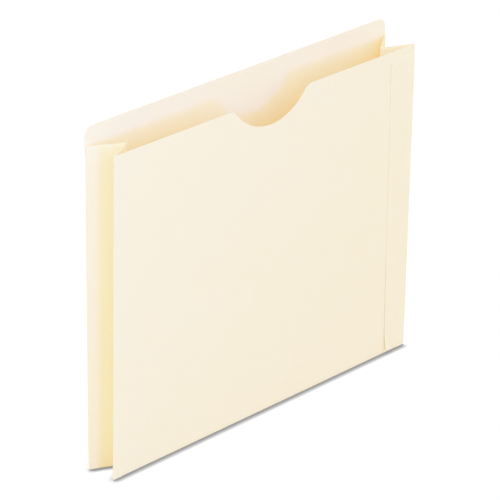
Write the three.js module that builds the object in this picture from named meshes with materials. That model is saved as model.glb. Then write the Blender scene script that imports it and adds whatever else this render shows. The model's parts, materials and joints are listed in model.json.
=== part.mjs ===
// An expanding file jacket of manila board, drawn standing and part way open.
// Millimetres, +Z up. The origin is on the surface it stands on, half way between its two panels.
// X runs along the panels. The front panel faces -Y, and the back panel with the tab faces +Y.
//
// The board is creased into flat panels and leaves. Each crease is a group whose origin lies on the
// crease line, so turning these groups opens and closes the jacket. One angle drives them all.
import * as THREE from 'three';

// Board and glue
const boardThickness = 0.28;
const glueThickness = 0.1;

// Panels
const panelWidth = 298.45;
const frontHeight = 228.6;
const tabRise = 12.7;
const tabOverhang = 0.8;
const tabCornerRadius = 6.35;

// Thumb notch in the front panel's top edge
const notchDepth = 19.05;
const notchRadius = 44.45;
const notchShoulderRadius = 8;

// Gussets: two leaves on each side and two at the bottom
const leafWidth = 25.4;
const creaseSlit = 0.7;
const cornerEase = 8;

// Opening between the panels' inner faces as the jacket stands
const standingOpening = 23;

// Seam flaps, one glued on the front panel and one on the back panel
const flapTopWidth = 24.7;
const flapBottomWidth = 22.2;
const flapTopInset = 7.6;
const flapBottomInset = 2;
const flapCornerRadius = 5;
const flapGlueInset = 3;

// Second ply behind the tab
const plyHeight = 19.05;
const plyGlueInset = 2;

// Steps along each arc of an outline
const arcSteps = 10;

const boardColour = '#f6ecd2';
const glueColour = '#efe7cf';

const backHeight = frontHeight + tabRise;
const halfWidth = panelWidth / 2;
const halfOpening = standingOpening / 2;
const sideCreaseX = halfWidth - boardThickness;
const bottomCreaseZ = boardThickness;
const leafAngle = angleOfLeaf(standingOpening);

// The angle between a leaf and its panel when the panels' inner faces are this far apart.
// A leaf turns about its inner face at the panel and about its outer face at the centre fold.
function angleOfLeaf(opening) {
  const pivotSpacing = Math.hypot(leafWidth, boardThickness);
  return Math.asin(opening / 2 / pivotSpacing) - Math.atan2(boardThickness, leafWidth);
}

// A flat piece cut to an outline drawn in X and Z. It fills y = -thickness to y = 0.
function sheet(name, outline, thickness, colour) {
  const geometry = new THREE.ExtrudeGeometry(outline, {
    depth: thickness,
    bevelEnabled: false,
    curveSegments: arcSteps,
  });
  geometry.rotateX(Math.PI / 2);
  const material = new THREE.MeshStandardMaterial({ color: colour, roughness: 0.85, metalness: 0 });
  const mesh = new THREE.Mesh(geometry, material);
  mesh.name = name;
  return mesh;
}

function board(name, outline) {
  return sheet(name, outline, boardThickness, boardColour);
}

function glue(name, outline) {
  return sheet(name, outline, glueThickness, glueColour);
}

function crease(x, y, z) {
  const group = new THREE.Group();
  group.position.set(x, y, z);
  return group;
}

// Continues an outline up one side, round the tab's two top corners and down to the other side.
// An arc draws the straight run up to its own start.
function addTabTop(outline, half, top) {
  const radius = tabCornerRadius;
  outline.absarc(half - radius, top - radius, radius, 0, Math.PI / 2, false);
  outline.absarc(radius - half, top - radius, radius, Math.PI / 2, Math.PI, false);
}

// The tab stands a little proud of the side creases below it.
function backOutline() {
  const tabHalf = halfWidth + tabOverhang;
  const outline = new THREE.Shape();
  outline.moveTo(-halfWidth, 0);
  outline.lineTo(halfWidth, 0);
  outline.lineTo(halfWidth, frontHeight);
  outline.lineTo(tabHalf, frontHeight);
  addTabTop(outline, tabHalf, backHeight);
  outline.lineTo(-tabHalf, frontHeight);
  outline.lineTo(-halfWidth, frontHeight);
  outline.closePath();
  return outline;
}

// The ply behind the tab, and with an inset the glue that holds it.
function plyOutline(inset) {
  const half = halfWidth - inset;
  const bottom = backHeight - plyHeight + inset;
  const outline = new THREE.Shape();
  outline.moveTo(-half, bottom);
  outline.lineTo(half, bottom);
  addTabTop(outline, half, backHeight - inset);
  outline.closePath();
  return outline;
}

// The notch is one arc, and a small arc at each shoulder eases it into the straight top edge.
function frontOutline() {
  const notchZ = frontHeight - notchDepth + notchRadius;
  const shoulderZ = frontHeight - notchShoulderRadius;
  const rise = notchZ - shoulderZ;
  const shoulderX = Math.sqrt((notchRadius + notchShoulderRadius) ** 2 - rise ** 2);
  const turn = Math.atan2(rise, shoulderX);
  const outline = new THREE.Shape();
  outline.moveTo(-halfWidth, 0);
  outline.lineTo(halfWidth, 0);
  outline.lineTo(halfWidth, frontHeight);
  outline.absarc(shoulderX, shoulderZ, notchShoulderRadius, Math.PI / 2, Math.PI - turn, false);
  outline.absarc(0, notchZ, notchRadius, -turn, turn - Math.PI, true);
  outline.absarc(-shoulderX, shoulderZ, notchShoulderRadius, turn, Math.PI / 2, false);
  outline.lineTo(-halfWidth, frontHeight);
  outline.closePath();
  return outline;
}

// A seam flap reaches in from the panel's side edge. Its free edge slants and its free corners are
// round. The side is 1 at the panel's right edge and -1 at its left edge.
function flapOutline(side, inset) {
  const edge = halfWidth - inset;
  const bottom = flapBottomInset + inset;
  const top = frontHeight - flapTopInset - inset;
  const freeAtBottom = halfWidth - flapBottomWidth + inset;
  const freeAtTop = halfWidth - flapTopWidth + inset;
  const radius = flapCornerRadius;
  const outline = new THREE.Shape();
  outline.moveTo(side * edge, bottom);
  outline.lineTo(side * edge, top);
  outline.lineTo(side * (freeAtTop + radius), top);
  outline.quadraticCurveTo(side * freeAtTop, top, side * freeAtTop, top - radius);
  outline.lineTo(side * freeAtBottom, bottom + radius);
  outline.quadraticCurveTo(side * freeAtBottom, bottom, side * (freeAtBottom + radius), bottom);
  outline.closePath();
  return outline;
}

// A side leaf runs from the floor to the top of the front panel.
function sideLeaf(name, creaseX, foldX) {
  const left = Math.min(creaseX, foldX) + creaseSlit;
  const right = Math.max(creaseX, foldX) - creaseSlit;
  const outline = new THREE.Shape();
  outline.moveTo(left, 0);
  outline.lineTo(right, 0);
  outline.lineTo(right, frontHeight);
  outline.lineTo(left, frontHeight);
  outline.closePath();
  return board(name, outline);
}

// A bottom leaf gets shorter away from its crease, by as much as it is wide, so that its slanted
// ends keep clear of the side leaves as the jacket opens and closes.
function bottomLeaf(name, creaseZ) {
  const endAtCrease = sideCreaseX - cornerEase - creaseSlit;
  const endAtFold = sideCreaseX - cornerEase - leafWidth + creaseSlit;
  const nearCrease = creaseZ + creaseSlit;
  const nearFold = creaseZ + leafWidth - creaseSlit;
  const outline = new THREE.Shape();
  outline.moveTo(-endAtCrease, nearCrease);
  outline.lineTo(endAtCrease, nearCrease);
  outline.lineTo(endAtFold, nearFold);
  outline.lineTo(-endAtFold, nearFold);
  outline.closePath();
  return board(name, outline);
}

// The back panel, with its inner face half an opening behind the middle
function makeBack() {
  const group = new THREE.Group();
  const outerFace = halfOpening + boardThickness;
  const panel = board('back_panel', backOutline());
  const flapGlue = glue('rear_seam_glue', flapOutline(-1, flapGlueInset));
  const flap = board('rear_seam_flap', flapOutline(-1, 0));
  const plyGlue = glue('tab_glue', plyOutline(plyGlueInset));
  const ply = board('tab_reinforcement', plyOutline(0));
  panel.position.y = outerFace;
  flapGlue.position.y = outerFace + glueThickness;
  plyGlue.position.y = outerFace + glueThickness;
  flap.position.y = outerFace + glueThickness + boardThickness;
  ply.position.y = outerFace + glueThickness + boardThickness;
  group.add(panel, flapGlue, flap, plyGlue, ply);
  return group;
}

// The front panel hangs on the left gusset's front crease, which is this group's origin.
function makeFront() {
  const group = crease(-leafWidth, -boardThickness, 0);
  const panel = board('front_panel', frontOutline());
  const flapGlue = glue('front_seam_glue', flapOutline(1, flapGlueInset));
  const flap = board('front_seam_flap', flapOutline(1, 0));
  flapGlue.position.y = -boardThickness;
  flap.position.y = -boardThickness - glueThickness;
  for (const piece of [panel, flapGlue, flap]) {
    piece.position.x = sideCreaseX;
    group.add(piece);
  }
  group.rotation.z = -leafAngle;
  return group;
}

// A side gusset: the rear leaf turns on the back panel, and the front leaf turns on the rear leaf.
// The side is 1 at the right and -1 at the left. What is given as held turns on the front leaf.
function makeSideGusset(side, rearName, frontName, held) {
  const rearCrease = crease(side * sideCreaseX, halfOpening, 0);
  const centreFold = crease(-side * leafWidth, -boardThickness, 0);
  rearCrease.rotation.z = side * leafAngle;
  centreFold.rotation.z = -2 * side * leafAngle;
  rearCrease.add(sideLeaf(rearName, 0, -side * leafWidth), centreFold);
  centreFold.add(sideLeaf(frontName, side * leafWidth, 0), ...held);
  return rearCrease;
}

// The bottom gusset folds up between the panels.
function makeBottomGusset() {
  const rearCrease = crease(0, halfOpening, bottomCreaseZ);
  const centreFold = crease(0, -boardThickness, leafWidth);
  rearCrease.rotation.x = leafAngle;
  centreFold.rotation.x = -2 * leafAngle;
  rearCrease.add(bottomLeaf('bottom_gusset_rear_leaf', 0), centreFold);
  centreFold.add(bottomLeaf('bottom_gusset_front_leaf', -leafWidth));
  return rearCrease;
}

const jacket = new THREE.Group();
jacket.add(
  makeBack(),
  makeSideGusset(-1, 'left_gusset_rear_leaf', 'left_gusset_front_leaf', [makeFront()]),
  makeSideGusset(1, 'right_gusset_rear_leaf', 'right_gusset_front_leaf', []),
  makeBottomGusset(),
);

export default jacket;
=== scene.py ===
import cmath
import json
import math
from typing import Callable, NamedTuple

import bmesh
import bpy
from mathutils import Matrix, Vector, noise


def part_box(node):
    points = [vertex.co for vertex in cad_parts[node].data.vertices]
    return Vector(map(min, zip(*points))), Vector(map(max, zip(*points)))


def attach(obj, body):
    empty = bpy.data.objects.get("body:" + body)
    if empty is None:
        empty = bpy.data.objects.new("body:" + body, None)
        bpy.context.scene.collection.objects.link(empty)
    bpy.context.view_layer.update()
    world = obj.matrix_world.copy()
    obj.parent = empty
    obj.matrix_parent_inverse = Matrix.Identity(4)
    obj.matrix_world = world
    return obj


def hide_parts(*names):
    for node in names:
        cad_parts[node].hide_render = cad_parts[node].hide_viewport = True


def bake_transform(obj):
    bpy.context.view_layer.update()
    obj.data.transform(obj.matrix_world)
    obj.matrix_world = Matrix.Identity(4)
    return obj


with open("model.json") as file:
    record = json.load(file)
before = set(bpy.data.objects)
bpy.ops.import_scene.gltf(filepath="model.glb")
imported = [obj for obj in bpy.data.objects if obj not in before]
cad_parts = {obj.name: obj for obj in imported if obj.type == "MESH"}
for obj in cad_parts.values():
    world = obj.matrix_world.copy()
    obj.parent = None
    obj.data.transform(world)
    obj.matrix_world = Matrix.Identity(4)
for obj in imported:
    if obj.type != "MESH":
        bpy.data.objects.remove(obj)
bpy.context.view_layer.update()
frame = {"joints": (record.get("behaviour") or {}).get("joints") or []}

MM = 0.001


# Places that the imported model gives

def hinge_place(name):
    places = [joint["pos_m"] for joint in frame["joints"] if joint["name"] == name]
    return Vector(places[0])


FRONT_LOW, FRONT_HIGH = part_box("front_panel")
BACK_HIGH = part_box("back_panel")[1]
PLY_LOW, PLY_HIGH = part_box("tab_reinforcement")
FLAP_LOW, FLAP_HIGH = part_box("front_seam_flap")
FLAP_GLUE_LOW, FLAP_GLUE_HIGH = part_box("front_seam_glue")
PLY_GLUE_LOW, PLY_GLUE_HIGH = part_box("tab_glue")
BOTTOM_LEAF_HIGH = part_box("bottom_gusset_rear_leaf")[1]

BOARD = FRONT_HIGH.y - FRONT_LOW.y
GLUE = FLAP_GLUE_HIGH.y - FLAP_GLUE_LOW.y
CREASE_X = abs(hinge_place("left_rear_crease").x)
HALF_OPENING = hinge_place("left_rear_crease").y
FOLD_X = abs(hinge_place("left_centre_crease").x)
CREASE_Z = hinge_place("bottom_rear_crease").z
FOLD_Z = hinge_place("bottom_centre_crease").z
FRONT_TOP = FRONT_HIGH.z
TAB_TOP = BACK_HIGH.z
TAB_HALF = BACK_HIGH.x

# The back panel leans away from the front towards its top and its right, as much as this for each
# metre that way.
LEAN_RISE = 0.01285
LEAN_SIDE = 0.00536

# Each panel dips a little towards its creases and has a slow, shallow wave between them.
CREASE_DIP = 0.12 * MM
DIP_REACH = 1.3 * MM
WAVE_HEIGHT = 0.16 * MM
WAVE_LENGTH = 120 * MM
WAVE_EASE = 45 * MM
FRONT_WAVE_SEED = 0.31
BACK_WAVE_SEED = 0.77

# A crease is a strip that reaches this far to either side of it. The round of an open pivot turns
# further than the leaf, so that it closes the gap at every pose.
STRIP = 0.8 * MM
BEAD_TURN = math.radians(175)

# The thumb notch is one arc, eased into the top edge at each shoulder.
NOTCH_RADIUS = 44.45 * MM
NOTCH_DEPTH = 19.05 * MM
NOTCH_SHOULDER = 8 * MM

# The tab's corners are round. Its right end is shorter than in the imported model, and stands nearly
# in line with the crease below it.
TAB_CORNER = 6.6 * MM
RIGHT_SHORT = 1.1 * MM

# The radius of a seam flap's free corners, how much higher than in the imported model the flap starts,
# how much wider it is at its top, how much narrower its foot is than its top, and how far inside its
# edge the glue ends
FLAP_CORNER = 3 * MM
FLAP_FOOT = 0.9 * MM
FLAP_WIDER = 0.8 * MM
FLAP_SLANT = 3.3 * MM
GLUE_EDGE = 0.3 * MM

# How far a flap's free edge stands off the panel: all along it, and how much more low down and at its
# foot, up to a height each. The lift starts this far in from the edge.
FLAP_LIFT = 0.08 * MM
LOW_LIFT = 0.26 * MM
LOW_LIFT_HEIGHT = 100 * MM
FOOT_LIFT = 0.85 * MM
FOOT_LIFT_HEIGHT = 15 * MM
FLAP_LIFT_REACH = 5.3 * MM

# The height over which a crease's round widens at a flap's ends, to lie outside the flap
FLAP_EASE = 2 * MM

# A side leaf bows in a slow wave along its height. Its phase at the foot and its turn from there to
# the top are in radians.
LEAF_BOW = 0.35 * MM
BOW_PHASE = 3
BOW_TURN = 9

# The left rear leaf has a bulge beyond a faint valley instead. Its places are shares of the width.
LEAF_BULGE = 0.6 * MM
VALLEY = 0.36
BULGE_RISE = 0.36
BULGE_FALL = 0.24

# How finely the pieces are divided. The columns and rows lie closer together near a crease.
NEAR_CREASE = [STRIP] + [gap * MM for gap in (1.3, 1.9, 2.7, 4, 7, 12)]
COLUMN_STEP = 7 * MM
NOTCH_REACH = 48 * MM
NOTCH_STEP = 1.2 * MM
ROWS_START = 18 * MM
ROW_STEP = 6 * MM
TAB_ROW_STEP = 2 * MM
TAB_COLUMN_STEP = 9 * MM
FLAP_SHARES = (0, 0.08, 0.2, 0.35, 0.5, 0.62, 0.7, 0.76, 0.82, 0.87, 0.91, 0.95, 0.98, 1)
LEAF_STEP = 0.04
SIDE_LEVEL_STEP = 8 * MM
BOTTOM_LEVEL_STEP = 0.05
FAN_STEPS = 9
CORNER_TURNS = [math.radians(angle) for angle in (15, 30, 42, 52, 62, 70, 78, 84, 90)]
SHARP_EDGE = math.radians(35)

# Points, and the values of a grid, are one where they agree to this many decimals.
POINT_DECIMALS = 8
VALUE_DECIMALS = 9


# Shapes of the panels

def smooth(share):
    share = min(max(share, 0.0), 1.0)
    return share * share * (3 - 2 * share)


def crease_dip(x, z):
    gap = min(abs(CREASE_X - abs(x)), abs(z - CREASE_Z))
    return CREASE_DIP * math.exp(-((gap / DIP_REACH) ** 2))


def wave(x, z, seed):
    """A wave that dies out at the creases, which keep the board straight."""
    ease = smooth((CREASE_X - abs(x)) / WAVE_EASE) * smooth(z / WAVE_EASE)
    return WAVE_HEIGHT * ease * noise.noise(Vector((x, seed, z)) / WAVE_LENGTH)


def front_inner(x, z):
    """The Y of the front panel's inner face."""
    return -HALF_OPENING + crease_dip(x, z) + wave(x, z, FRONT_WAVE_SEED)


def back_inner(x, z):
    lean = LEAN_RISE * z + LEAN_SIDE * x
    return HALF_OPENING + lean - crease_dip(x, z) + wave(x, z, BACK_WAVE_SEED)


def front_face(x, z, out):
    """The Y of a face that lies this far out from the front panel's inner face."""
    return front_inner(x, z) - out


def back_face(x, z, out):
    return back_inner(x, z) + out


def notch_top(x):
    """The front panel's top edge at x."""
    arc_z = FRONT_TOP - NOTCH_DEPTH + NOTCH_RADIUS
    shoulder_z = FRONT_TOP - NOTCH_SHOULDER
    shoulder_x = math.sqrt((NOTCH_RADIUS + NOTCH_SHOULDER) ** 2 - (arc_z - shoulder_z) ** 2)
    meeting_x = shoulder_x * NOTCH_RADIUS / (NOTCH_RADIUS + NOTCH_SHOULDER)
    across = abs(x)
    if across >= shoulder_x:
        return FRONT_TOP
    if across >= meeting_x:
        return shoulder_z + math.sqrt(NOTCH_SHOULDER ** 2 - (shoulder_x - across) ** 2)
    return arc_z - math.sqrt(NOTCH_RADIUS ** 2 - across ** 2)


def tab_end(side, inset):
    """How far out a tab layer reaches on this side."""
    short = RIGHT_SHORT if side > 0 else 0.0
    return TAB_HALF - short - inset


def tab_top(x, top, inset):
    """The top edge at x of a tab layer, whose two top corners are round."""
    into = max(abs(x) - (tab_end(x, inset) - TAB_CORNER), 0.0)
    return top - TAB_CORNER + math.sqrt(max(TAB_CORNER ** 2 - into ** 2, 0.0))


# Meshes

def grid_cells(columns, rows, kept):
    """The grid's cells, in order. kept says, from its two columns and lower row, if a cell is one."""
    return [
        (i, j) for i in range(len(columns) - 1) for j in range(len(rows) - 1)
        if kept is None or kept(columns[i], columns[i + 1], rows[j])]


def finished_piece(name, grid):
    """Makes a piece of a finished grid, with smooth faces and sharp rims."""
    bmesh.ops.recalc_face_normals(grid, faces=grid.faces)
    mesh = bpy.data.meshes.new(name)
    grid.to_mesh(mesh)
    grid.free()
    mesh.shade_smooth()
    mesh.set_sharp_from_angle(angle=SHARP_EDGE)
    piece = bpy.data.objects.new(name, mesh)
    bpy.context.scene.collection.objects.link(piece)
    return piece


def sheet(name, columns, rows, place, kept=None):
    """A closed sheet on a grid. place(column, row, outer) gives a point of its inner face, where
    outer is 0, or of its outer face, where it is 1. Its rim, the cut edge, has the second material."""
    grid = bmesh.new()
    made = {}

    def corner(i, j, outer):
        spot = Vector(place(columns[i], rows[j], outer))
        key = (outer, *(round(value, POINT_DECIMALS) for value in spot))
        if key not in made:
            made[key] = grid.verts.new(spot)
        return made[key]

    def face(corners, material):
        distinct = list(dict.fromkeys(corners))
        if len(distinct) > 2:
            grid.faces.new(distinct).material_index = material

    cells = grid_cells(columns, rows, kept)
    filled = set(cells)
    for i, j in cells:
        ring = [(i, j), (i + 1, j), (i + 1, j + 1), (i, j + 1)]
        for outer in (0, 1):
            face([corner(a, b, outer) for a, b in ring], 0)
        beside = [(i, j - 1), (i + 1, j), (i, j + 1), (i - 1, j)]
        for k, neighbour in enumerate(beside):
            if neighbour not in filled:
                a, b = ring[k], ring[(k + 1) % 4]
                face([corner(*a, 0), corner(*b, 0), corner(*b, 1), corner(*a, 1)], 1)
    return finished_piece(name, grid)


def spread(low, high, step):
    """Evenly spaced values from low to high, about a step apart."""
    count = max(1, round((high - low) / step))
    return [low + (high - low) * k / count for k in range(count + 1)]


def merged(*lists):
    """The lists' values in order, each once."""
    return sorted({round(value, VALUE_DECIMALS) for values in lists for value in values})


def mirrored(values):
    """The values, with their opposites before them."""
    return [-value for value in values] + list(values)


def dress(piece, materials, body, node=None):
    """Gives a piece its finish, the body that it rides on and the node that it replaces."""
    for material in materials:
        piece.data.materials.append(material)
    if body:
        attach(piece, body)
    if node:
        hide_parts(node)


# Shader nodes

def fresh_material(name):
    material = bpy.data.materials.new(name)
    material.use_nodes = True
    nodes = material.node_tree.nodes
    nodes.clear()
    return material, nodes, material.node_tree.links


def noise_node(nodes, links, vector, scale, detail, roughness=0.5):
    node = nodes.new("ShaderNodeTexNoise")
    node.inputs["Scale"].default_value = scale
    node.inputs["Detail"].default_value = detail
    node.inputs["Roughness"].default_value = roughness
    links.new(vector, node.inputs["Vector"])
    return node.outputs["Fac"]


def remap(nodes, links, value, source, target):
    """Maps a value from one range to another, and keeps it within that."""
    node = nodes.new("ShaderNodeMapRange")
    node.inputs["From Min"].default_value = source[0]
    node.inputs["From Max"].default_value = source[1]
    node.inputs["To Min"].default_value = target[0]
    node.inputs["To Max"].default_value = target[1]
    links.new(value, node.inputs["Value"])
    return node.outputs["Result"]


def blend_colour(nodes, links, share, first, second):
    """Mixes two colours, each a socket or a plain colour, by a share that is a socket."""
    node = nodes.new("ShaderNodeMix")
    node.data_type = "RGBA"
    links.new(share, node.inputs["Factor"])
    for name, colour in (("A", first), ("B", second)):
        target = [item for item in node.inputs if item.name == name and item.type == "RGBA"][0]
        if isinstance(colour, tuple):
            target.default_value = (*colour, 1)
        else:
            links.new(colour, target)
    return [item for item in node.outputs if item.type == "RGBA"][0]


def stretched(nodes, links, vector, turn, scale):
    """Coordinates turned and stretched, for short fibres that lie one way."""
    node = nodes.new("ShaderNodeMapping")
    node.inputs["Rotation"].default_value = turn
    node.inputs["Scale"].default_value = scale
    links.new(vector, node.inputs["Vector"])
    return node.outputs["Vector"]


def ray_seen(nodes, links):
    """1 for what the camera sees, by itself or in a glossy or clear face, and 0 for other light."""
    path = nodes.new("ShaderNodeLightPath")
    seen = path.outputs["Is Camera Ray"]
    for ray in ("Is Glossy Ray", "Is Transmission Ray"):
        either = nodes.new("ShaderNodeMath")
        either.operation = "MAXIMUM"
        links.new(seen, either.inputs[0])
        links.new(path.outputs[ray], either.inputs[1])
        seen = either.outputs["Value"]
    return seen


def mix_shaders(nodes, links, share, first, second):
    """The first shader where the share is 0, and the second where it is 1."""
    mix = nodes.new("ShaderNodeMixShader")
    links.new(share, mix.inputs["Fac"])
    links.new(first, mix.inputs[1])
    links.new(second, mix.inputs[2])
    return mix.outputs["Shader"]


# Board: two close shades in slow clouds, two lays of short fibres and a fine felt-like surface. A
# scale is in marks for each metre, and a range says between which noise values a mark comes in.
FULL_RANGE = (0, 1)
CLOUD_SCALE = 55
CLOUD_DETAIL = 4
CLOUD_ROUGHNESS = 0.6
CLOUD_RANGE = (0.3, 0.7)
FIBRE_LAYS = (((0.4, 0.2, 0.7), 0.35), ((0.9, 1.1, 2.2), 0.25))
FIBRE_STRETCH = (260, 1500, 1500)
FIBRE_DETAIL = 2
FIBRE_RANGE = (0.62, 0.72)
FELT_SCALE = 1400
FELT_DETAIL = 3
FELT_RANGE = (0.3, 0.7)
FELT_STRENGTH = 0.12
FELT_DEPTH = 0.05 * MM
ROUGHNESS_SWING = 0.06
SPECULAR = 0.25


def board_colour(nodes, links, place, pale, deep, fibre):
    """The two shades in clouds, with the fibres over them."""
    clouds = noise_node(nodes, links, place, CLOUD_SCALE, CLOUD_DETAIL, CLOUD_ROUGHNESS)
    cloudiness = remap(nodes, links, clouds, CLOUD_RANGE, FULL_RANGE)
    colour = blend_colour(nodes, links, cloudiness, pale, deep)
    for turn, most in FIBRE_LAYS:
        lie = stretched(nodes, links, place, turn, FIBRE_STRETCH)
        hairs = noise_node(nodes, links, lie, 1, FIBRE_DETAIL)
        share = remap(nodes, links, hairs, FIBRE_RANGE, (0, most))
        colour = blend_colour(nodes, links, share, colour, fibre)
    return colour


def felt_normal(nodes, links, grain):
    felt = nodes.new("ShaderNodeBump")
    felt.inputs["Strength"].default_value = FELT_STRENGTH
    felt.inputs["Distance"].default_value = FELT_DEPTH
    links.new(grain, felt.inputs["Height"])
    return felt.outputs["Normal"]


def board_material(name, pale, deep, fibre, roughness):
    material, nodes, links = fresh_material(name)
    place = nodes.new("ShaderNodeTexCoord").outputs["Object"]
    colour = board_colour(nodes, links, place, pale, deep, fibre)
    grain = noise_node(nodes, links, place, FELT_SCALE, FELT_DETAIL)
    swing = (roughness - ROUGHNESS_SWING, roughness + ROUGHNESS_SWING)
    shader = nodes.new("ShaderNodeBsdfPrincipled")
    shader.inputs["Specular IOR Level"].default_value = SPECULAR
    links.new(colour, shader.inputs["Base Color"])
    links.new(remap(nodes, links, grain, FELT_RANGE, swing), shader.inputs["Roughness"])
    links.new(felt_normal(nodes, links, grain), shader.inputs["Normal"])
    output = nodes.new("ShaderNodeOutputMaterial")
    links.new(shader.outputs["BSDF"], output.inputs["Surface"])
    return material


MANILA = board_material(
    "manila_board", pale=(1.0, 0.965, 0.80), deep=(1.0, 0.957, 0.775),
    fibre=(0.997, 0.94, 0.72), roughness=0.78)
# Cut edges are paler than the faces: partly the board's paler cut fibres, partly a painted highlight
# that offsets the shade along the thin edges.
CUT_EDGE_AND_HIGHLIGHT = board_material(
    "cut_edge_and_highlight", pale=(1.0, 0.965, 0.88), deep=(1.0, 0.955, 0.86),
    fibre=(0.99, 0.93, 0.80), roughness=0.85)
DRIED_GLUE = board_material(
    "dried_glue", pale=(0.97, 0.90, 0.70), deep=(0.95, 0.87, 0.66),
    fibre=(0.92, 0.82, 0.58), roughness=0.5)
BOARD_LOOK = (MANILA, CUT_EDGE_AND_HIGHLIGHT)
GLUE_LOOK = (DRIED_GLUE, DRIED_GLUE)


# Panels

# Where a panel's strips at its creases begin, and where the bottom gusset ends at its creases. A
# cell may pass an end by the slack and still count as within it.
PANEL_END = CREASE_X - STRIP
PANEL_FOOT = CREASE_Z + STRIP
LEAF_END = BOTTOM_LEAF_HIGH.x + STRIP
SLACK = STRIP / 10


class Panel(NamedTuple):
    """A panel's body, what places its faces, and its seam flap's side, 1 at the right or -1 at the
    left."""
    body: str
    face: Callable
    flap_side: int


class Layer(NamedTuple):
    """What lies on a panel's outer side: how far from the inner face, how thick, and its finish."""
    out: float
    thickness: float
    slot: str
    look: tuple


FRONT = Panel("front", front_face, 1)
BACK = Panel("back", back_face, -1)
OUTER_BOARD = Layer(BOARD + GLUE, BOARD, "manila_board", BOARD_LOOK)
GLUE_FILM = Layer(BOARD, GLUE, "glue", GLUE_LOOK)


def corner_columns(inset):
    """Columns round both of a tab layer's top corners."""
    columns = []
    for side in (-1, 1):
        start = tab_end(side, inset) - TAB_CORNER
        columns += [side * (start + TAB_CORNER * math.sin(turn)) for turn in CORNER_TURNS]
    return columns


def panel_columns():
    near = mirrored([CREASE_X - gap for gap in NEAR_CREASE])
    return merged(near, mirrored([LEAF_END]), spread(-PANEL_END, PANEL_END, COLUMN_STEP))


def panel_rows():
    near = [CREASE_Z + gap for gap in NEAR_CREASE]
    return merged([0], near, spread(ROWS_START, FRONT_TOP, ROW_STEP))


def outside_bottom_strip(left, right, low):
    """True for a panel's cells apart from those that the bottom crease's own strip fills."""
    return low > CREASE_Z or max(abs(left), abs(right)) > LEAF_END + SLACK


def make_front_panel():
    """The rows above the foot's are drawn down towards the notch."""
    columns = merged(panel_columns(), spread(-NOTCH_REACH, NOTCH_REACH, NOTCH_STEP))

    def place(x, row, outer):
        share = max(row - PANEL_FOOT, 0) / (FRONT_TOP - PANEL_FOOT)
        z = min(row, PANEL_FOOT) + share * (notch_top(x) - PANEL_FOOT)
        return x, front_face(x, z, outer * BOARD), z

    piece = sheet("front_panel_board", columns, panel_rows(), place, outside_bottom_strip)
    dress(piece, BOARD_LOOK, "front", "front_panel")


def make_back_panel():
    """Only the tab reaches beyond the side creases, whose own strips are beside the rest."""
    columns = merged(panel_columns(), corner_columns(0.0))
    rows = merged(panel_rows(), spread(FRONT_TOP, TAB_TOP, TAB_ROW_STEP))

    def place(x, row, outer):
        share = max(row - FRONT_TOP, 0) / (TAB_TOP - FRONT_TOP)
        z = min(row, FRONT_TOP) + share * (tab_top(x, TAB_TOP, 0.0) - FRONT_TOP)
        return x, back_face(x, z, outer * BOARD), z

    def kept(left, right, low):
        if low < FRONT_TOP - BOARD and max(abs(left), abs(right)) > PANEL_END + SLACK:
            return False
        return outside_bottom_strip(left, right, low)

    piece = sheet("back_panel_board", columns, rows, place, kept)
    dress(piece, BOARD_LOOK, "back", "back_panel")


def make_tab_layer(name, node, low, high, layer):
    """The ply behind the tab, or the glue that holds it."""
    inset = TAB_HALF - high.x
    ends = corner_columns(inset)
    columns = merged(ends, spread(min(ends), max(ends), TAB_COLUMN_STEP))
    rows = spread(low.z, high.z, TAB_ROW_STEP)

    def place(x, row, outer):
        share = (row - low.z) / (high.z - low.z)
        z = low.z + share * (tab_top(x, high.z, inset) - low.z)
        return x, back_face(x, z, layer.out + outer * layer.thickness), z

    piece = sheet(name, columns, rows, place)
    dress(piece, layer.look, "back", node)


def flap_edge(z, low, high, inset):
    """How far in from the crease the flap's free edge stands at height z, with round corners."""
    share = (z - FLAP_LOW.z) / (FLAP_HIGH.z - FLAP_LOW.z)
    reach = CREASE_X - FLAP_LOW.x + FLAP_WIDER - FLAP_SLANT * (1 - share) - inset
    gap = min(z - low, high - z)
    into = max(FLAP_CORNER - gap, 0.0)
    return reach - FLAP_CORNER + math.sqrt(max(FLAP_CORNER ** 2 - into ** 2, 0.0))


def flap_lift(inward, edge, z):
    """The free edge stands a little off the panel, more so low down and most at its foot."""
    height = z - FLAP_LOW.z
    lift = FLAP_LIFT + LOW_LIFT * smooth(1 - height / LOW_LIFT_HEIGHT)
    lift += FOOT_LIFT * smooth(1 - height / FOOT_LIFT_HEIGHT)
    return lift * smooth(1 - (edge - inward) / FLAP_LIFT_REACH)


def make_flap_layer(name, node, panel, near, inset, layer):
    """The flap, or the glue under it, from this near the crease. Its free edges are inset."""
    low = FLAP_LOW.z + FLAP_FOOT + inset
    high = FLAP_HIGH.z - inset
    rounds = [FLAP_CORNER * (1 - math.cos(turn)) for turn in CORNER_TURNS]
    rows = merged(
        [low, high], [low + gap for gap in rounds], [high - gap for gap in rounds],
        spread(low + FLAP_CORNER, high - FLAP_CORNER, ROW_STEP))

    def place(share, z, outer):
        edge = flap_edge(z, low, high, inset)
        inward = near + share * (edge - near)
        x = panel.flap_side * (CREASE_X - inward)
        lift = 0.0 if inset else flap_lift(inward, edge, z)
        return x, panel.face(x, z, layer.out + lift + outer * layer.thickness), z

    piece = sheet(name, FLAP_SHARES, rows, place)
    dress(piece, layer.look, panel.body, node)


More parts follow.
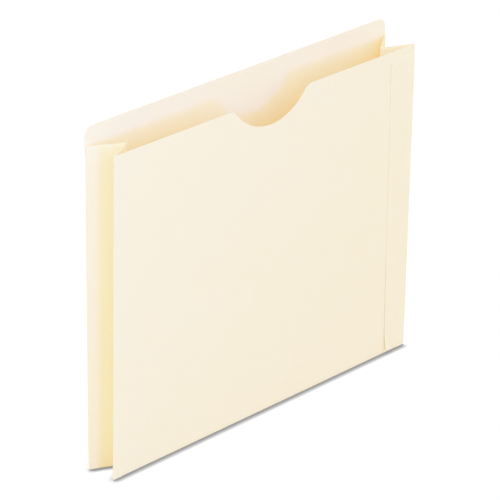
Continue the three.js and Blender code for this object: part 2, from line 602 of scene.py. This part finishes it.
def make_layers():
    glue_start = CREASE_X - FLAP_GLUE_HIGH.x
    for word, panel in (("front", FRONT), ("rear", BACK)):
        flap = word + "_seam_flap"
        glue = word + "_seam_glue"
        make_flap_layer(flap + "_board", flap, panel, 0.0, 0.0, OUTER_BOARD)
        make_flap_layer(glue + "_film", glue, panel, glue_start, GLUE_EDGE, GLUE_FILM)
    make_tab_layer("tab_ply_board", "tab_reinforcement", PLY_LOW, PLY_HIGH, OUTER_BOARD)
    make_tab_layer("tab_glue_film", "tab_glue", PLY_GLUE_LOW, PLY_GLUE_HIGH, GLUE_FILM)


# Gussets

class Section:
    """What a gusset is like across its creases at one place along them: where the panel's inner
    face and the centre fold are, and how a leaf runs from one to the other. The leaf's outer face
    looks more the way that is given than the opposite way."""

    def __init__(self, start, fold, outer_way):
        chord = fold - start
        self.start = start
        self.length = math.sqrt(abs(chord) ** 2 - BOARD ** 2)
        for turn in (1, -1):
            self.along = chord / complex(self.length, turn * BOARD)
            self.normal = self.along * complex(0, turn)
            if (self.normal * outer_way.conjugate()).real > 0:
                break

    def point(self, distance, outer, bow=0.0):
        """A point this far along the leaf, on its inner or outer face."""
        return self.start + distance * self.along + (outer * BOARD + bow) * self.normal


# Where a strip is divided on the round of its crease, as shares of the turn
FAN_STATIONS = [("fan", share) for share in spread(0, 1, 1 / FAN_STEPS)]


def outward(rear):
    """The direction from the back or the front panel's inner face to its outer face."""
    return complex(0, 1 if rear else -1)


def fan(centre, first, turn, share, radius):
    """A point on a round fold: the direction first, turned by a share of turn, a radius away."""
    return centre + radius * first * cmath.rect(1, turn * share)


def leaf_bow(side, rear, share, level):
    """How far a side leaf stands out of its plane, at a share of its width and at a height."""
    if side < 0 and rear:
        return LEAF_BULGE * smooth((share - VALLEY) / BULGE_RISE) * smooth((1 - share) / BULGE_FALL)
    along = math.sin(BOW_PHASE + BOW_TURN * level / FRONT_TOP)
    return LEAF_BOW * math.sin(math.pi * share) ** 2 * along


class Gusset:
    """One gusset. A place along its creases is a level: a height at the sides, and at the bottom a
    share of the half length. side is 1 or -1 for the side gussets and 0 for the bottom one."""

    def __init__(self, side):
        self.side = side

    def half_length(self, distance):
        """Half of the bottom gusset's length, this far from the crease along a leaf."""
        return LEAF_END - distance

    def to_space(self, spot, level, distance):
        """Where a point of the section at this level lies, this far from the crease along a leaf."""
        if self.side:
            return spot.real, spot.imag, level
        return level * self.half_length(distance), spot.imag, spot.real

    def inner(self, rear, level, off_crease=0.0):
        """A point on the panel's inner face, this far off the crease."""
        face = back_inner if rear else front_inner
        if self.side:
            x = self.side * (CREASE_X - off_crease)
            return complex(x, face(x, level))
        z = CREASE_Z + off_crease
        return complex(z, face(level * self.half_length(0), z))

    def section(self, rear, level):
        fold = complex(self.side * FOLD_X if self.side else FOLD_Z, 0)
        return Section(self.inner(rear, level), fold, -outward(rear))

    def levels(self):
        """The levels where the gusset's pieces are divided, among them the ends of the flaps."""
        if not self.side:
            return spread(-1, 1, BOTTOM_LEVEL_STEP)
        return merged(
            [FLAP_LOW.z, FLAP_LOW.z + FLAP_EASE, FLAP_HIGH.z - FLAP_EASE, FLAP_HIGH.z],
            spread(0, FRONT_TOP, SIDE_LEVEL_STEP))

    def has_flap(self, rear):
        """Whether a seam flap is glued to the panel beside this crease."""
        return self.side == (BACK if rear else FRONT).flap_side

    def round_radius(self, rear, level):
        """The radius where the round starts: outside a glued flap, or else the panel's thickness."""
        if not self.has_flap(rear):
            return BOARD
        gap = min(level - FLAP_LOW.z, FLAP_HIGH.z - level)
        return BOARD + (BOARD + GLUE) * smooth(gap / FLAP_EASE)

    def make_leaf(self, name, node, rear, body, from_crease):
        """A leaf, from this far off its crease at the panel to the strip at the centre fold."""
        shares = merged([LEAF_STEP / 2, 1 - LEAF_STEP / 2], spread(0, 1, LEAF_STEP))

        def place(share, level, outer):
            section = self.section(rear, level)
            distance = from_crease + share * (section.length - STRIP - from_crease)
            bow = leaf_bow(self.side, rear, share, level) if self.side else 0.0
            return self.to_space(section.point(distance, outer, bow), level, distance)

        piece = sheet(name, shares, self.levels(), place)
        dress(piece, BOARD_LOOK, body, node)

    def root_point(self, rear, bends, station, level, outer):
        """A point of the strip round the crease at a panel: beside the crease on the panel or on
        the leaf, or on the round from the one to the other."""
        kind, value = station
        first = outward(rear)
        section = self.section(rear, level)
        if kind == "panel":
            spot = self.inner(rear, level, value) + outer * BOARD * first
            return self.to_space(spot, level, 0.0)
        if kind == "leaf":
            return self.to_space(section.point(value, outer), level, value)
        turn = cmath.phase(section.normal / first)
        if not bends:
            turn = math.copysign(BEAD_TURN, turn)
        radius = self.round_radius(rear, level)
        radius += (BOARD - radius) * value
        spot = fan(section.start, first, turn, value, outer * radius)
        return self.to_space(spot, level, 0.0)

    def make_root(self, name, rear, bodies):
        """The strip round the crease at a panel. With two bodies its round follows the leaf and it
        rides on neither body, and with one it is the round of an open pivot, which stays with the
        panel."""
        bends = len(bodies) == 2
        stations = [("panel", STRIP), ("panel", 0.0), *FAN_STATIONS]
        if bends:
            stations.append(("leaf", STRIP))

        def place(station, level, outer):
            return self.root_point(rear, bends, station, level, outer)

        piece = sheet(name, stations, self.levels(), place)
        dress(piece, BOARD_LOOK, None if bends else bodies[0])
        if bends:
            self.bend_root(piece, rear)

    def middle(self):
        """The level half way along the creases."""
        levels = self.levels()
        return (levels[0] + levels[-1]) / 2

    def crease_line(self, rear):
        """The direction of the crease at a panel."""
        levels = self.levels()
        low = Vector(self.to_space(self.inner(rear, levels[0]), levels[0], 0.0))
        high = Vector(self.to_space(self.inner(rear, levels[-1]), levels[-1], 0.0))
        return (high - low).normalized()

    def bend_root(self, piece, rear):
        """Works out the plane that holds the crease line and halves the angle between the panel and
        the leaf, but leaves the strip as it is and only bakes its place into its mesh."""
        middle = self.middle()
        section = self.section(rear, middle)
        panel_way = self.inner(rear, middle, MM) - self.inner(rear, middle)
        across = section.along - panel_way / abs(panel_way)
        beyond = section.start + across / abs(across) * STRIP
        centre = Vector(self.to_space(section.start, middle, 0.0))
        line = self.crease_line(rear)
        way = Vector(self.to_space(beyond, middle, 0.0)) - centre
        way -= way.dot(line) * line
        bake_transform(piece)

    def fold_point(self, station, level, outer):
        """A point of the strip round the centre fold: beside the fold on either leaf, or on the
        round from the rear leaf to the front one."""
        kind, value = station
        rear = self.section(True, level)
        front = self.section(False, level)
        if kind == "fan":
            turn = cmath.phase(front.normal / rear.normal)
            centre = rear.point(rear.length, 1)
            spot = fan(centre, -rear.normal, turn, value, (1 - outer) * BOARD)
            return self.to_space(spot, level, rear.length)
        section = rear if kind == "rear" else front
        distance = section.length - value
        return self.to_space(section.point(distance, outer), level, distance)

    def make_fold(self, name):
        """The strip round the centre fold, a round from the rear leaf to the front one. It rides on no
        body.
        """
        stations = [("rear", STRIP), *FAN_STATIONS, ("front", STRIP)]
        piece = sheet(name, stations, self.levels(), self.fold_point)
        dress(piece, BOARD_LOOK, None)
        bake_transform(piece)


def make_gusset(side, word, front_is_open):
    """A gusset's two leaves and three creases. An open front crease is a round that stays with the
    front panel."""
    gusset = Gusset(side)
    rear = word + "_rear_leaf"
    front = word + "_front_leaf"
    front_bodies = ["front"] if front_is_open else ["front", front]
    front_start = 0.0 if front_is_open else STRIP
    gusset.make_leaf(rear + "_board", word + "_gusset_rear_leaf", True, rear, STRIP)
    gusset.make_leaf(front + "_board", word + "_gusset_front_leaf", False, front, front_start)
    gusset.make_root(word + "_rear_crease", True, ["back", rear])
    gusset.make_fold(word + "_centre_fold")
    gusset.make_root(word + "_front_crease", False, front_bodies)


# Camera, fitted to the corners of the front panel. Its place is counted from the middle of that
# panel's foot.
CAMERA_YAW = math.radians(48.42)
CAMERA_PITCH = math.radians(23.19)
CAMERA_ROLL = math.radians(1.15)
CAMERA_PLACE = Vector((-1.547, -1.356, 1.0))
CAMERA_LENS = 239.1
CAMERA_SENSOR = 36.0
CAMERA_FAR = 50


def make_camera():
    data = bpy.data.cameras.new("camera")
    data.sensor_width = CAMERA_SENSOR
    data.lens = CAMERA_LENS
    data.clip_end = CAMERA_FAR
    place = CAMERA_PLACE + Vector((0, FRONT_LOW.y, 0))
    camera = bpy.data.objects.new("camera", data)
    bpy.context.scene.collection.objects.link(camera)
    camera.matrix_world = (
        Matrix.Translation(place)
        @ Matrix.Rotation(-CAMERA_YAW, 4, "Z")
        @ Matrix.Rotation(math.pi / 2 - CAMERA_PITCH, 4, "X")
        @ Matrix.Rotation(CAMERA_ROLL, 4, "Z"))
    bpy.context.scene.camera = camera


# Light: a sky that is cooler towards the horizon, and three soft lamps at the left and front. They
# light the board, and where the sky itself is seen it is white.
HORIZON_LIGHT = (0.97, 1.0, 1.2)
OVERHEAD_LIGHT = (0.97, 0.945, 0.84)
WHITE = (1, 1, 1, 1)
LAMP_AIM = Vector((0, 0, 0.12))


def make_lamp(name, place, size, watts, colour):
    data = bpy.data.lights.new(name, "AREA")
    data.shape = "DISK"
    data.size = size
    data.energy = watts
    data.color = colour
    lamp = bpy.data.objects.new(name, data)
    bpy.context.scene.collection.objects.link(lamp)
    lamp.location = place
    aim = LAMP_AIM - lamp.location
    lamp.rotation_euler = aim.to_track_quat("-Z", "Y").to_euler()


def make_lamps():
    make_lamp("upper_left", (-0.38, -0.42, 0.48), size=0.3, watts=0.34, colour=(0.2, 0.42, 1))
    make_lamp("front_left", (-0.75, -1.95, 0.28), size=0.5, watts=8, colour=(0.01, 0.19, 1))
    make_lamp("left", (-0.45, -0.05, 0.4), size=0.25, watts=0.12, colour=(0.05, 0.3, 1))


def make_world():
    world = bpy.data.worlds.new("studio")
    world.use_nodes = True
    nodes, links = world.node_tree.nodes, world.node_tree.links
    nodes.clear()
    split = nodes.new("ShaderNodeSeparateXYZ")
    links.new(nodes.new("ShaderNodeTexCoord").outputs["Generated"], split.inputs["Vector"])
    height = remap(nodes, links, split.outputs["Z"], FULL_RANGE, FULL_RANGE)
    sky = blend_colour(nodes, links, height, HORIZON_LIGHT, OVERHEAD_LIGHT)
    light = nodes.new("ShaderNodeBackground")
    links.new(sky, light.inputs["Color"])
    shown = nodes.new("ShaderNodeBackground")
    shown.inputs["Color"].default_value = WHITE
    surface = mix_shaders(
        nodes, links, ray_seen(nodes, links),
        light.outputs["Background"], shown.outputs["Background"])
    output = nodes.new("ShaderNodeOutputWorld")
    links.new(surface, output.inputs["Surface"])
    bpy.context.scene.world = world


# Floor: white where it is seen, with a faint shadow and a painted contact shadow, a dark line where
# board meets it. A spot of the floor is painted darker the more board it finds within a short reach,
# looking the line's way, so that the painted shadow lies on the board's near side. The faint shadow
# comes from a share of the light that falls there.
FLOOR_REACH = 6.0
FLOOR_Z = -0.05 * MM
PAINTED_SHADOW_WAY = Vector((0.75, 0.68, 0.5)).normalized()
PAINTED_SHADOW_REACH = 5.8 * MM
PAINTED_SHADOW_SAMPLES = 16
PAINTED_SHADOW_OPENNESS = (0.53, 0.97)
PAINTED_SHADOW_WHITE = (0.24, 0.95)
SHADOW_SHARE = (0.08, 0.08, 0.08, 1)

# The colour of the light that the floor sends back onto the board
FLOOR_BOUNCE = (0.9, 0.72, 0.28, 1)


def diffuse_node(nodes, colour):
    node = nodes.new("ShaderNodeBsdfDiffuse")
    node.inputs["Color"].default_value = colour
    return node.outputs["BSDF"]


def floor_material():
    material, nodes, links = fresh_material("floor_white_painted_shadow")
    # Painted contact shadow: the white that is seen is dimmed where board is near.
    near = nodes.new("ShaderNodeAmbientOcclusion")
    near.samples = PAINTED_SHADOW_SAMPLES
    near.inputs["Distance"].default_value = PAINTED_SHADOW_REACH
    way = nodes.new("ShaderNodeCombineXYZ")
    for axis in range(3):
        way.inputs[axis].default_value = PAINTED_SHADOW_WAY[axis]
    links.new(way.outputs["Vector"], near.inputs["Normal"])
    white = nodes.new("ShaderNodeEmission")
    strength = remap(nodes, links, near.outputs["AO"], PAINTED_SHADOW_OPENNESS, PAINTED_SHADOW_WHITE)
    links.new(strength, white.inputs["Strength"])
    shown = nodes.new("ShaderNodeAddShader")
    links.new(white.outputs["Emission"], shown.inputs[0])
    links.new(diffuse_node(nodes, SHADOW_SHARE), shown.inputs[1])
    surface = mix_shaders(
        nodes, links, ray_seen(nodes, links),
        diffuse_node(nodes, FLOOR_BOUNCE), shown.outputs["Shader"])
    output = nodes.new("ShaderNodeOutputMaterial")
    links.new(surface, output.inputs["Surface"])
    return material


def make_floor():
    mesh = bpy.data.meshes.new("floor")
    signs = ((-1, -1), (1, -1), (1, 1), (-1, 1))
    corners = [(x * FLOOR_REACH, y * FLOOR_REACH, FLOOR_Z) for x, y in signs]
    mesh.from_pydata(corners, [], [(0, 1, 2, 3)])
    floor = bpy.data.objects.new("floor", mesh)
    floor.data.materials.append(floor_material())
    bpy.context.scene.collection.objects.link(floor)


def clear_defaults():
    for name in ("Cube", "Light", "Camera"):
        found = bpy.data.objects.get(name)
        if found:
            bpy.data.objects.remove(found)


# Light goes many times to and fro between the pale panels before it leaves the pocket.
BOUNCES = 64

clear_defaults()
make_camera()
make_world()
make_lamps()
make_floor()
make_front_panel()
make_back_panel()
make_layers()
make_gusset(-1, "left", front_is_open=False)
make_gusset(1, "right", front_is_open=True)
make_gusset(0, "bottom", front_is_open=True)
bpy.context.scene.view_settings.view_transform = "Standard"
bpy.context.scene.cycles.max_bounces = BOUNCES
bpy.context.scene.cycles.diffuse_bounces = BOUNCES
